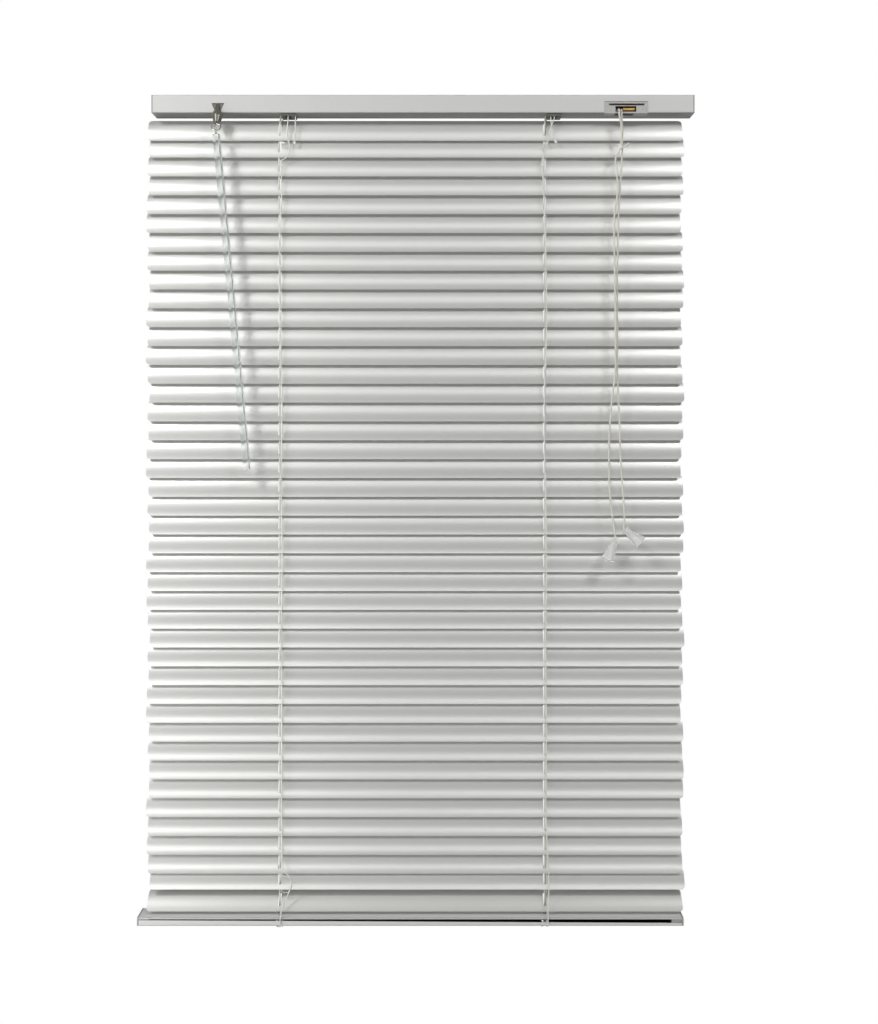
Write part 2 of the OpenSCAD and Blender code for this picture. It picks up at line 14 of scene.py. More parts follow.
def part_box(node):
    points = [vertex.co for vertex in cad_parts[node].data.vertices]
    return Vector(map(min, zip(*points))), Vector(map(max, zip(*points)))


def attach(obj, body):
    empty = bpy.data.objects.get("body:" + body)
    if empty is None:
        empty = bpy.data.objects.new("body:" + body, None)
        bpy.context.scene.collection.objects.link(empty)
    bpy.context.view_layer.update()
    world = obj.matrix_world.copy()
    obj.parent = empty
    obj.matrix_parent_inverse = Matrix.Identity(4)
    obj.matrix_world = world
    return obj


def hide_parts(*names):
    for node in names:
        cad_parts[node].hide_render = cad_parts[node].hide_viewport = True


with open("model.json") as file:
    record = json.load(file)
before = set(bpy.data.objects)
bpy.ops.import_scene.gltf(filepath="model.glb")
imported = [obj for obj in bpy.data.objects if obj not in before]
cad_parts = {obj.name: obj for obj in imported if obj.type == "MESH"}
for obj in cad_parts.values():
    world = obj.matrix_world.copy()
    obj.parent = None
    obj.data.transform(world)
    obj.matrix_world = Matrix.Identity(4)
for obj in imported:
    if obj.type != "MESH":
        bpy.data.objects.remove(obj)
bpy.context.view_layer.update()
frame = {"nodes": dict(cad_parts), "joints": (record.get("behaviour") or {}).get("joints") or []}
scene = bpy.context.scene
MM = 0.001

# Places that the pieces below share, read from the frame
BUTTON_R, CRADLE_HALF = 7 * MM, 10 * MM
rail_low, rail_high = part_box("head_rail")
sill_low, sill_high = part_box("bottom_rail")
lock_low, lock_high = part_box("cord_lock_housing")
button_low, button_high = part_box("cord_buttons")
cradle_low, cradle_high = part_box("ladder_cradles")
MID_Y = (rail_low.y + rail_high.y) / 2
LADDERS = [button_low.x + BUTTON_R, button_high.x - BUTTON_R]
CRADLES = [cradle_low.x + CRADLE_HALF, cradle_high.x - CRADLE_HALF]
LOCK_X = (lock_low.x + lock_high.x) / 2
SLATS = sorted(name for name in frame["nodes"] if name.startswith("slat_"))
PIVOTS = {j["child"]: j for j in frame["joints"]}


# Camera: square to the blind, level with its upper part
cam = bpy.data.cameras.new("camera")
cam.sensor_width = 36
cam.lens = 38.2
cam.shift_y = -100 / 1024
camera = bpy.data.objects.new("camera", cam)
camera.location = (0.0177, -1.2254, -0.3406)
camera.rotation_euler = (math.pi / 2, 0, 0)
scene.collection.objects.link(camera)
scene.camera = camera


# Materials
def material(name, **sockets):
    """A principled material, its sockets set by name."""
    made = bpy.data.materials.new(name)
    made.use_nodes = True
    shader = made.node_tree.nodes["Principled BSDF"]
    for socket, value in sockets.items():
        shader.inputs[socket.replace("_", " ")].default_value = value
    return made


def add(tree, kind, **settings):
    """A node in tree, with its attributes set."""
    node = tree.nodes.new(kind)
    for key, value in settings.items():
        setattr(node, key, value)
    return node


WORN_TINT, WORN_DEPTH, WORN_DETAIL = (0.6, 0.6, 0.58, 1), 0.1 * MM, 4


def noise_group():
    """Shared effect: a colour broken up by soft noise, and a fine bump to go with it."""
    group = bpy.data.node_groups.new("worn_finish", "ShaderNodeTree")
    face = group.interface
    for name, kind in (("Color", "NodeSocketColor"), ("Scale", "NodeSocketFloat"),
                       ("Shade", "NodeSocketFloat"), ("Bump", "NodeSocketFloat")):
        face.new_socket(name, in_out="INPUT", socket_type=kind)
    face.new_socket("Color", in_out="OUTPUT", socket_type="NodeSocketColor")
    face.new_socket("Normal", in_out="OUTPUT", socket_type="NodeSocketVector")
    given, made = add(group, "NodeGroupInput"), add(group, "NodeGroupOutput")
    where = add(group, "ShaderNodeTexCoord")
    noise = add(group, "ShaderNodeTexNoise")
    noise.inputs["Detail"].default_value = WORN_DETAIL
    darker = add(group, "ShaderNodeMix", data_type="RGBA", blend_type="MULTIPLY")
    depth = add(group, "ShaderNodeMath", operation="MULTIPLY")
    bump = add(group, "ShaderNodeBump")
    bump.inputs["Distance"].default_value = WORN_DEPTH
    link = group.links.new
    link(where.outputs["Object"], noise.inputs["Vector"])
    link(given.outputs["Scale"], noise.inputs["Scale"])
    link(noise.outputs["Fac"], depth.inputs[0])
    link(given.outputs["Shade"], depth.inputs[1])
    link(depth.outputs[0], darker.inputs["Factor"])
    link(given.outputs["Color"], darker.inputs["A"])
    darker.inputs["B"].default_value = WORN_TINT
    link(noise.outputs["Fac"], bump.inputs["Height"])
    link(given.outputs["Bump"], bump.inputs["Strength"])
    link(darker.outputs["Result"], made.inputs["Color"])
    link(bump.outputs["Normal"], made.inputs["Normal"])
    return group


WORN = noise_group()


def finish_with_noise(made, color, scale, shade, bump):
    """Puts the shared worn finish in front of a principled material."""
    tree = made.node_tree
    shader = tree.nodes["Principled BSDF"]
    worn = add(tree, "ShaderNodeGroup", node_tree=WORN)
    worn.inputs["Color"].default_value = (*color, 1)
    worn.inputs["Scale"].default_value = scale
    worn.inputs["Shade"].default_value = shade
    worn.inputs["Bump"].default_value = bump
    tree.links.new(worn.outputs["Color"], shader.inputs["Base Color"])
    tree.links.new(worn.outputs["Normal"], shader.inputs["Normal"])
    return made


def box_group():
    """Shared effect: 1 inside a box given by its middle and half size, 0 outside."""
    group = bpy.data.node_groups.new("in_box", "ShaderNodeTree")
    for name in ("Middle", "Half"):
        group.interface.new_socket(name, in_out="INPUT", socket_type="NodeSocketVector")
    group.interface.new_socket("Inside", in_out="OUTPUT", socket_type="NodeSocketFloat")
    given, made = add(group, "NodeGroupInput"), add(group, "NodeGroupOutput")
    where = add(group, "ShaderNodeTexCoord")
    off = add(group, "ShaderNodeVectorMath", operation="SUBTRACT")
    size = add(group, "ShaderNodeVectorMath", operation="ABSOLUTE")
    past = add(group, "ShaderNodeVectorMath", operation="SUBTRACT")
    axes = add(group, "ShaderNodeSeparateXYZ")
    widest = add(group, "ShaderNodeMath", operation="MAXIMUM")
    worst = add(group, "ShaderNodeMath", operation="MAXIMUM")
    inside = add(group, "ShaderNodeMath", operation="LESS_THAN")
    inside.inputs[1].default_value = 0
    link = group.links.new
    link(where.outputs["Object"], off.inputs[0])
    link(given.outputs["Middle"], off.inputs[1])
    link(off.outputs[0], size.inputs[0])
    link(size.outputs[0], past.inputs[0])
    link(given.outputs["Half"], past.inputs[1])
    link(past.outputs[0], axes.inputs[0])
    link(axes.outputs["X"], widest.inputs[0])
    link(axes.outputs["Y"], widest.inputs[1])
    link(widest.outputs[0], worst.inputs[0])
    link(axes.outputs["Z"], worst.inputs[1])
    link(worst.outputs[0], inside.inputs[0])
    link(inside.outputs[0], made.inputs["Inside"])
    return group


IN_BOX = box_group()


def paint_shade_inside(made, low, high, color):
    """Gives a material another colour inside a box, used for painted shade, such as the dark hollow
    inside of a rail.
    """
    tree = made.node_tree
    socket = tree.nodes["Principled BSDF"].inputs["Base Color"]
    before = socket.links[0].from_socket
    box = add(tree, "ShaderNodeGroup", node_tree=IN_BOX)
    box.inputs["Middle"].default_value = (Vector(low) + Vector(high)) / 2
    box.inputs["Half"].default_value = (Vector(high) - Vector(low)) / 2
    mix = add(tree, "ShaderNodeMix", data_type="RGBA")
    mix.inputs["B"].default_value = (*color, 1)
    tree.links.new(box.outputs["Inside"], mix.inputs["Factor"])
    tree.links.new(before, mix.inputs["A"])
    tree.links.new(mix.outputs["Result"], socket)


# Braid: where its valleys end, how dark the painted shade in them is, and the strength and depth of
# its bump
BRAID_VALLEY, BRAID_SHADE, BRAID_BUMP, BRAID_DEPTH = -0.4, 0.72, 0.6, 0.2 * MM


def finish_with_braid(made, color, strands, pitch):
    """Braided look from the tube's own UV map, with painted shade in its valleys: u once round, v in
    metres along it.
    """
    tree = made.node_tree
    shader = tree.nodes["Principled BSDF"]
    uv = add(tree, "ShaderNodeUVMap", uv_map="along")
    parts = add(tree, "ShaderNodeSeparateXYZ")
    tree.links.new(uv.outputs["UV"], parts.inputs[0])
    waves = []
    for turn in (1, -1):
        around = add(tree, "ShaderNodeMath", operation="MULTIPLY")
        around.inputs[1].default_value = strands * 2 * math.pi * turn
        along = add(tree, "ShaderNodeMath", operation="MULTIPLY")
        along.inputs[1].default_value = 2 * math.pi / pitch
        both = add(tree, "ShaderNodeMath", operation="ADD")
        wave = add(tree, "ShaderNodeMath", operation="SINE")
        tree.links.new(parts.outputs["X"], around.inputs[0])
        tree.links.new(parts.outputs["Y"], along.inputs[0])
        tree.links.new(around.outputs[0], both.inputs[0])
        tree.links.new(along.outputs[0], both.inputs[1])
        tree.links.new(both.outputs[0], wave.inputs[0])
        waves.append(wave)
    high = add(tree, "ShaderNodeMath", operation="MAXIMUM")
    tree.links.new(waves[0].outputs[0], high.inputs[0])
    tree.links.new(waves[1].outputs[0], high.inputs[1])
    ramp = add(tree, "ShaderNodeMapRange")
    ramp.inputs["From Min"].default_value = BRAID_VALLEY
    ramp.inputs["To Min"].default_value = BRAID_SHADE
    tree.links.new(high.outputs[0], ramp.inputs["Value"])
    tint = add(tree, "ShaderNodeMix", data_type="RGBA", blend_type="MULTIPLY")
    tint.inputs["Factor"].default_value = 1
    tint.inputs["A"].default_value = (*color, 1)
    tree.links.new(ramp.outputs[0], tint.inputs["B"])
    tree.links.new(tint.outputs["Result"], shader.inputs["Base Color"])
    bump = add(tree, "ShaderNodeBump")
    bump.inputs["Strength"].default_value = BRAID_BUMP
    bump.inputs["Distance"].default_value = BRAID_DEPTH
    tree.links.new(high.outputs[0], bump.inputs["Height"])
    tree.links.new(bump.outputs["Normal"], shader.inputs["Normal"])
    return made


# Each worn finish is given its colour, and the noise's scale, shade and bump
slat_paint = finish_with_noise(
    material("slat_paint", Metallic=0.46, Roughness=0.33), (0.745, 0.745, 0.725), 60, 0.05, 0.006)
# Painted shade: the lowest slat takes a darker, duller copy of the slat paint for the shade on its
# flatter place above the bottom rail.
shaded_slat_paint = finish_with_noise(
    material("shaded_slat_paint", Metallic=0.25, Roughness=0.42), (0.6, 0.6, 0.58), 60, 0.05, 0.006)
rail_paint = finish_with_noise(
    material("rail_paint", Metallic=0.1, Roughness=0.42), (0.63, 0.63, 0.62), 80, 0.06, 0.06)
# Painted shade: the head rail's underside takes a dark grey for the shade under the rail.
UNDERSIDE, MARGIN = 0.3 * MM, 1 * MM
paint_shade_inside(rail_paint, rail_low - Vector((MARGIN, MARGIN, MARGIN)),
              Vector((rail_high.x, rail_high.y, rail_low.z + UNDERSIDE)), (0.28, 0.28, 0.27))
sill_paint = finish_with_noise(
    material("sill_paint", Metallic=0.1, Roughness=0.42), (0.73, 0.73, 0.72), 80, 0.06, 0.06)
# Painted shade: the hollow inside of the bottom rail, seen through its seam, is near black.
SILL_WALL = Vector((-1, 1, 1)) * 0.4 * MM
paint_shade_inside(sill_paint, sill_low + SILL_WALL, sill_high - SILL_WALL, (0.04, 0.04, 0.038))
cap_plastic = finish_with_noise(
    material("cap_plastic", Roughness=0.55), (0.39, 0.39, 0.38), 300, 0.3, 0.25)
# Painted shade: the cradles under the head rail take a dark grey for the shade they sit in.
shaded_cradle_plastic = finish_with_noise(
    material("shaded_cradle_plastic", Roughness=0.5), (0.15, 0.15, 0.14), 250, 0.5, 0.2)
tilter_alloy = finish_with_noise(
    material("tilter_alloy", Metallic=0.5, Roughness=0.35), (0.235, 0.23, 0.195), 500, 0.9, 0.5)
lock_steel = finish_with_noise(
    material("lock_steel", Metallic=0.3, Roughness=0.35), (0.58, 0.575, 0.555), 350, 0.7, 0.3)
SHADOW_LINE_Z, OPENING_LEFT, OPENING_RIGHT = 1.5 * MM, 12 * MM, 8.4 * MM
lock_inside = rail_low.y + 0.1 * MM
# Painted shade: the lock's parts behind the head rail's front take a dark brown.
paint_shade_inside(lock_steel, Vector((lock_low.x, lock_inside, rail_low.z)), lock_high, (0.1, 0.07, 0.042))
# Painted shadow: a dark grey line along the top edge of the lock's bezel, for the shadow gap above it.
paint_shade_inside(lock_steel, Vector((lock_low.x, lock_low.y - MARGIN, SHADOW_LINE_Z)), lock_high,
              (0.14, 0.14, 0.14))
# Painted shade: the lock's opening below the head rail takes a dark brown.
paint_shade_inside(lock_steel, Vector((LOCK_X - OPENING_LEFT, lock_inside, lock_low.z - MARGIN)),
              Vector((LOCK_X + OPENING_RIGHT, lock_high.y, rail_low.z)), (0.07, 0.055, 0.042))
white_plastic = finish_with_noise(
    material("white_plastic", Roughness=0.45), (0.83, 0.83, 0.79), 200, 0.2, 0.1)
knot_white = finish_with_noise(
    material("knot_white", Roughness=0.6), (0.92, 0.92, 0.9), 600, 0.25, 0.3)
zinc = finish_with_noise(
    material("zinc", Metallic=1, Roughness=0.3), (0.69, 0.68, 0.62), 350, 0.6, 0.3)
brass = finish_with_noise(
    material("brass", Metallic=1, Roughness=0.28), (0.86, 0.53, 0.18), 400, 0.4, 0.2)
clear = finish_with_noise(
    material("clear_plastic", Roughness=0.08, IOR=1.45, Transmission_Weight=0.92),
    (0.93, 0.96, 0.95), 150, 0.02, 0)
bell_plastic = finish_with_noise(
    material("bell_plastic", Roughness=0.12, IOR=1.14, Transmission_Weight=0.62),
    (0.97, 0.98, 0.97), 150, 0.05, 0.02)
cord_braid = finish_with_braid(
    material("cord_braid", Roughness=0.8), (0.83, 0.825, 0.735), 4, 2.4 * MM)
string_braid = finish_with_braid(
    material("string_braid", Roughness=0.8), (0.9, 0.9, 0.86), 3, 1.6 * MM)


# Stage: a pale floor, and a world that is white where the camera sees it
def sheet_of_stage(name, corners, made):
    """One flat face that isn't part of the object."""
    mesh = bpy.data.meshes.new(name)
    bm = bmesh.new()
    bm.faces.new([bm.verts.new(c) for c in corners])
    bm.to_mesh(mesh)
    bm.free()
    mesh.materials.append(made)
    sheet = bpy.data.objects.new(name, mesh)
    scene.collection.objects.link(sheet)


# The floor ends where the camera would see it behind the blind
FLOOR_Z, FLOOR_SIDE, FLOOR_BACK, FLOOR_LIFT = -1.9, 5, 1.1, 0.5
pale_floor = finish_with_noise(
    material("pale_floor", Roughness=0.9, Emission_Color=(1, 1, 1, 1)), (0.8, 0.8, 0.79), 8, 0.05, 0)
floor_tree = pale_floor.node_tree
floor_ray = add(floor_tree, "ShaderNodeLightPath")
lift = add(floor_tree, "ShaderNodeMath", operation="MULTIPLY")
lift.inputs[1].default_value = FLOOR_LIFT
floor_tree.links.new(floor_ray.outputs["Is Camera Ray"], lift.inputs[0])
floor_tree.links.new(lift.outputs[0], floor_tree.nodes["Principled BSDF"].inputs["Emission Strength"])
sheet_of_stage("floor", [
    (-FLOOR_SIDE, -FLOOR_SIDE, FLOOR_Z), (FLOOR_SIDE, -FLOOR_SIDE, FLOOR_Z),
    (FLOOR_SIDE, FLOOR_BACK, FLOOR_Z), (-FLOOR_SIDE, FLOOR_BACK, FLOOR_Z)], pale_floor)

scene.view_settings.view_transform = "Standard"
world = bpy.data.worlds.new("studio")
world.use_nodes = True
sky = world.node_tree.nodes["Background"]
sky.inputs["Color"].default_value = (1, 1, 1, 1)


# The white that metal and glass see lies behind the blind, in a band of directions
BAND_Z, BAND_HALF, BAND_Y = 0.2, 0.3, 0.2
SOFT_LIGHT, SOFT_IN_GLASS = 0.07, 0.3


def set_world_level():
    """Low light for the object; white for the camera, and behind the object in metal and glass."""
    tree = world.node_tree
    link = tree.links.new

    def math_node(operation, first, second, third=None):
        node = add(tree, "ShaderNodeMath", operation=operation)
        for socket, value in zip(node.inputs, (first, second, third)):
            if isinstance(value, (int, float)):
                socket.default_value = value
            elif value is not None:
                link(value, socket)
        return node.outputs[0]

    ray = add(tree, "ShaderNodeLightPath").outputs
    way = add(tree, "ShaderNodeSeparateXYZ")
    link(add(tree, "ShaderNodeTexCoord").outputs["Generated"], way.inputs[0])
    level = math_node("COMPARE", way.outputs["Z"], BAND_Z, BAND_HALF)
    behind = math_node("MULTIPLY", math_node("GREATER_THAN", way.outputs["Y"], BAND_Y), level)
    shiny = math_node("MAXIMUM", ray["Is Glossy Ray"], ray["Is Transmission Ray"])
    mirrored = math_node("MULTIPLY", behind, shiny)
    soft = math_node("MULTIPLY_ADD", ray["Is Transmission Ray"], SOFT_IN_GLASS, SOFT_LIGHT)
    seen = math_node("MAXIMUM", ray["Is Camera Ray"], mirrored)
    link(math_node("MAXIMUM", seen, soft), sky.inputs["Strength"])


set_world_level()
scene.world = world


def softbox(name, place, aim, width, height, power):
    """A soft rectangular lamp that the camera doesn't see, its power in watts."""
    lamp = bpy.data.lights.new(name, "AREA")
    lamp.shape = "RECTANGLE"
    lamp.size, lamp.size_y = width, height
    lamp.energy = power
    made = bpy.data.objects.new(name, lamp)
    made.location = place
    way = Vector(aim) - Vector(place)
    made.rotation_euler = way.to_track_quat("-Z", "Y").to_euler()
    made.visible_camera = False
    scene.collection.objects.link(made)


CENTRE = (0, 0, -0.4)
softbox("key", (-1.05, -1.25, 0.85), CENTRE, 0.35, 0.3, 13.3)
softbox("fill", (0.95, -1.2, 0.85), CENTRE, 0.35, 0.3, 8.2)
softbox("strip", (0, -1.6, 0.8), CENTRE, 1.5, 0.5, 3.4)
softbox("side_left", (-0.65, -0.35, -0.6), (-0.3, 0, -0.6), 0.25, 1.2, 2.6)
softbox("side_right", (0.7, -0.4, -0.75), (0.3, 0, -0.75), 0.25, 0.9, 0.7)
softbox("back", (0.4, 1.8, -1.3), CENTRE, 1.2, 0.8, 4.5)
softbox("low_left", (-1, -2.6, -1.05), CENTRE, 1.4, 0.4, 9.5)
softbox("low_right", (0.8, -2.6, -1.05), CENTRE, 1.8, 0.4, 7.5)


# Pieces
SHARP = math.radians(35)


def piece(name, mesh, body, made):
    """A mesh as a piece that rides on a body and takes a finish."""
    mesh.materials.append(made)
    mesh.shade_smooth()
    mesh.set_sharp_from_angle(angle=SHARP)
    obj = bpy.data.objects.new(name, mesh)
    scene.collection.objects.link(obj)
    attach(obj, body)
    return obj


def rings_along(path):
    """A frame (side, up) at each point of a path, carried along without twist."""
    ways = [(path[min(i + 1, len(path) - 1)] - path[max(i - 1, 0)]).normalized()
            for i in range(len(path))]
    side = ways[0].orthogonal().normalized()
    frames = []
    for way in ways:
        side = (side - side.dot(way) * way).normalized()
        frames.append((side, way.cross(side)))
    return frames


def tube_into(bm, path, radius, sides=10):
    """Sweeps a round section along path, with its UV map "along": u once round, v in metres."""
    uv = bm.loops.layers.uv.get("along") or bm.loops.layers.uv.new("along")
    rings, run = [], [0.0]
    for a, b in zip(path, path[1:]):
        run.append(run[-1] + (b - a).length)
    for point, (side, up) in zip(path, rings_along(path)):
        rings.append([bm.verts.new(point + radius * (math.cos(a) * side + math.sin(a) * up))
                      for a in (2 * math.pi * k / sides for k in range(sides))])
    for i in range(len(rings) - 1):
        for k in range(sides):
            n = (k + 1) % sides
            face = bm.faces.new((rings[i][k], rings[i][n], rings[i + 1][n], rings[i + 1][k]))
            spots = ((k, i), (k + 1, i), (k + 1, i + 1), (k, i + 1))
            for loop, (u, v) in zip(face.loops, spots):
                loop[uv].uv = (u / sides, run[v])
    bm.faces.new(list(reversed(rings[0])))
    bm.faces.new(rings[-1])


def mesh_of(name, fill):
    """A mesh that fill(bm) draws."""
    mesh = bpy.data.meshes.new(name)
    bm = bmesh.new()
    fill(bm)
    bm.to_mesh(mesh)
    bm.free()
    return mesh


def smooth_path(points, steps=6):
    """Catmull-Rom curve through the points."""
    points = [Vector(p) for p in points]
    ends = [2 * points[0] - points[1], *points, 2 * points[-1] - points[-2]]
    path = [points[0]]
    for a, b, c, d in zip(ends, ends[1:], ends[2:], ends[3:]):
        for s in range(1, steps + 1):
            t = s / steps
            path.append(0.5 * (2 * b + (c - a) * t + (2 * a - 5 * b + 4 * c - d) * t * t
                               + (3 * b - a - 3 * c + d) * t ** 3))
    return path


# Slats: the CAD's arc, drawn smooth, with round corners and the two cord slots
CHORD, CROWN, CORNER = 25 * MM, 2 * MM, 4 * MM
SLAT_T, SLOT_LEN, SLOT_W = 0.4 * MM, 14 * MM, 3.2 * MM
ARC_R = ((CHORD / 2) ** 2 + CROWN ** 2) / (2 * CROWN)
ALONG_STEPS, ACROSS_STEPS, CORNER_STEPS, NEAR = 24, 12, 8, 0.001 * MM


def axis_and_tilt(name):
    """A slat's axis and its tilt when closed."""
    return Vector(PIVOTS[name]["pos_m"]), math.radians(PIVOTS[name]["range_deg"][1] / 2)


def on_slat(name, u, w):
    """Place (y, z) of a point u across from the slat's axis and w above its crown."""
    pivot, tilt = axis_and_tilt(name)
    return (pivot.y + u * math.cos(tilt) - w * math.sin(tilt),
            pivot.z + u * math.sin(tilt) + w * math.cos(tilt))


def slat_mesh(name):
    """A flat blank with round corners, slotted, bent to its crown and turned to its tilt."""
    low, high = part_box(name)
    pivot, tilt = axis_and_tilt(name)
    half = CHORD / 2
    slot_sides = [x + side * SLOT_W / 2 for x in LADDERS for side in (-1, 1)]
    even = (low.x + (high.x - low.x) * k / ALONG_STEPS for k in range(1, ALONG_STEPS))
    along = slot_sides + [x for x in even if all(abs(x - c) > SLOT_W for c in LADDERS)]
    across = {side * half * math.sin(math.pi / 2 * k / ACROSS_STEPS)
              for k in range(ACROSS_STEPS) for side in (-1, 1)}
    across |= {-SLOT_LEN / 2, SLOT_LEN / 2}

    def in_slot(face):
        middle = face.calc_center_median()
        beside = any(abs(middle.x - x) < SLOT_W / 2 for x in LADDERS)
        return beside and abs(middle.y) < SLOT_LEN / 2

    def fill(bm):
        blank = [bm.verts.new(corner) for corner in (
            (low.x, -half, 0), (high.x, -half, 0), (high.x, half, 0), (low.x, half, 0))]
        bm.faces.new(blank)
        bmesh.ops.bevel(bm, geom=blank, offset=CORNER, affect="VERTICES",
                        segments=CORNER_STEPS, profile=0.5, material=-1)
        cuts = [((x, 0, 0), (1, 0, 0)) for x in along]
        cuts += [((0, u, 0), (0, 1, 0)) for u in sorted(across)]
        for place, way in cuts:
            bmesh.ops.bisect_plane(bm, geom=bm.verts[:] + bm.edges[:] + bm.faces[:], dist=NEAR,
                                   plane_co=place, plane_no=way)
        bmesh.ops.delete(bm, geom=[face for face in bm.faces if in_slot(face)], context="FACES")
        for vert in bm.verts:
            vert.co.z = math.sqrt(ARC_R ** 2 - vert.co.y ** 2) - ARC_R + SLAT_T / 2
        bm.normal_update()
        bmesh.ops.solidify(bm, geom=bm.faces[:], thickness=SLAT_T)
        turn = Matrix.Translation(pivot) @ Matrix.Rotation(tilt, 4, "X")
        bmesh.ops.transform(bm, matrix=turn, verts=bm.verts[:])

    return mesh_of(name, fill)


for name in SLATS:
    made = piece(f"{name}_strip", slat_mesh(name), name,
                 shaded_slat_paint if name == SLATS[-1] else slat_paint)
    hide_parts(name)


# Ladders: a front and a back string with slack, and a rung under each slat
STRING_D, RUNG_D, CORD_D, LAY = 1.3 * MM, 0.7 * MM, 2 * MM, 0.4 * MM
STRING_SIDE, RUNG_SIDE, DRUM_R = 2.5 * MM, 1.9 * MM, 5.75 * MM
REACH = SLAT_T / 2 + LAY + STRING_D / 2


def front_of(name):
    """Where (y) a front string clears the slat, closed either way: as far out as the back one."""
    return 2 * PIVOTS[name]["pos_m"][1] - back_of(name)


def back_of(name):
    """Where (y) a back string clears the slat's edge."""
    return on_slat(name, CHORD / 2, -CROWN)[0] + REACH


# Slack of each front string: how far it hangs to the right of its place, by height, in mm
SLACK = (
    ((-31, 6.6), (-47, 9.3), (-56, 7.1), (-62, 0.5), (-67, 0), (-105, 0.5), (-137, -1.5),
     (-174, -2), (-255, -1), (-340, 1), (-420, 0), (-505, 1.5), (-590, 0), (-670, 1),
     (-760, 0.5), (-830, 1), (-845, 3), (-859, 12), (-872, 9), (-886, 3)),
    ((-31, 2), (-42, 0.5), (-58, -4), (-66, -5.6), (-150, -2), (-250, -1), (-310, -3),
     (-370, -3.5), (-430, -2), (-520, -1), (-600, -2), (-700, -1), (-790, -1.5),
     (-850, 1), (-872, 1)))
BEND = 4 * MM


def slack_at(k, z):
    """Slack of front string k at a height, in metres."""
    for (z0, a), (z1, b) in zip(SLACK[k], SLACK[k][1:]):
        if z0 * MM >= z >= z1 * MM:
            return (a + (b - a) * (z / MM - z0) / (z1 - z0)) * MM
    return 0.0


def front_string(k):
    """From the drum through the cradle, down in front of the slats, to the bottom rail's front."""
    x, drum = LADDERS[k] + STRING_SIDE, MID_Y - DRUM_R - LAY - STRING_D / 2
    upper, lower = front_of(SLATS[0]), min(front_of(SLATS[-2]), front_of(SLATS[-1]))
    low_from = on_slat(SLATS[-2], 0, 0)[1] + CHORD
    out = sill_low.y - LAY - STRING_D / 2
    points = [(CRADLES[k], drum, 0), (CRADLES[k], drum, rail_low.z + BEND),
              (CRADLES[k], upper, rail_low.z - BEND)]
    for z, slack in SLACK[k]:
        points.append((x + slack * MM, lower if z * MM < low_from else upper, z * MM))
    points += [(x, out, sill_high.z - 1 * MM), (x, out, sill_low.z + 1.5 * MM)]
    return smooth_path(points)


def back_string(k):
    """From the drum through the cradle, down behind the slats, to the bottom rail's back."""
    x, drum = LADDERS[k] + STRING_SIDE, MID_Y + DRUM_R + LAY + STRING_D / 2
    points = [(CRADLES[k], drum, 0), (CRADLES[k], drum, rail_low.z + BEND)]
    for name in SLATS[:-3:3] + SLATS[-3:]:
        points.append((x, back_of(name), on_slat(name, CHORD / 2, -CROWN)[1] + 2 * MM))
    points.append((x, MID_Y + 9.5 * MM, sill_high.z - 2 * MM))
    return smooth_path(points)


def draw_strings(bm):
    for k in (0, 1):
        tube_into(bm, front_string(k), STRING_D / 2)
        tube_into(bm, back_string(k), STRING_D / 2)


strings = piece("ladder_strings", mesh_of("ladder_strings", draw_strings),
                "head", string_braid)
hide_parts("ladders")


OVERHANG, TIE_DROP, TIE_RISE = 0.4 * MM, 0.6 * MM, 0.8 * MM


def draw_rungs(bm, name):
    """The rung of each ladder under a slat, beside the lift cord, tied to both strings."""
    under = -CROWN - SLAT_T / 2 - LAY - RUNG_D / 2
    near = on_slat(name, -CHORD / 2 - OVERHANG, under)
    far = on_slat(name, CHORD / 2 - OVERHANG, under)
    tie = near[0] - RUNG_D if name == SLATS[0] else front_of(name) + STRING_D / 2
    for k, x in enumerate(LADDERS):
        tube_into(bm, smooth_path([
            (x + STRING_SIDE + slack_at(k, near[1]), tie, near[1] - TIE_DROP),
            (x + RUNG_SIDE, *near), (x + RUNG_SIDE, *far),
            (x + STRING_SIDE, back_of(name), far[1] + TIE_RISE)], 4), RUNG_D / 2, 6)


for name in SLATS:
    piece(f"{name}_rungs", mesh_of(f"{name}_rungs", lambda bm: draw_rungs(bm, name)),
          name, string_braid)


# Lift cords: the held run through the blind, and the free pull from the lock to the tassel
# The pulls' routes are (x from the lock's middle, z), in mm
RUN_Z = rail_low.z + 3.05 * MM
GATE_Y = rail_low.y - 2.15 * MM
CORD_EXIT = (-8.6 * MM, -5.4 * MM)
PULL = (
    ((-6, -30), (-8, -52), (-12.6, -61), (-11.6, -74), (-10.4, -93), (-11.3, -107),
     (-13.9, -126), (-13.9, -170), (-13.5, -187), (-12.9, -228), (-12.7, -272),
     (-12.8, -296), (-16.6, -327), (-18.9, -355), (-19.9, -377), (-19.8, -400),
     (-19.4, -422), (-17.6, -444), (-14.4, -468)),
    ((-4.7, -30), (-4.7, -52), (-5.8, -74), (-7.2, -93), (-8, -107), (-8.9, -126),
     (-9.5, -160), (-10.3, -187), (-10.2, -228), (-10, -250), (-10.2, -272),
     (-10.2, -296), (-9, -327), (-7.6, -355), (-7.2, -377), (-6.6, -393),
     (-5.1, -415), (-3, -443), (-2.4, -460)))
TASSEL_TOP = (Vector((LOCK_X - 13.9 * MM, -32.5 * MM, -482.7 * MM)),
              Vector((LOCK_X - 2.4 * MM, -32.5 * MM, -469.5 * MM)))
TASSEL_TURN, TASSEL_LEAN = (22.6, -49.8), -6
GATE_DROP = 2.2 * MM


def tassel_way(k):
    """The way a tassel hangs."""
    a, b = math.radians(TASSEL_LEAN), math.radians(TASSEL_TURN[k])
    return Vector((-math.cos(a) * math.sin(b), math.sin(a), -math.cos(a) * math.cos(b)))


def pull_y(k):
    """The left pull hangs in front of the right one."""
    return GATE_Y - (1 - k) * (CORD_D + 2 * LAY)


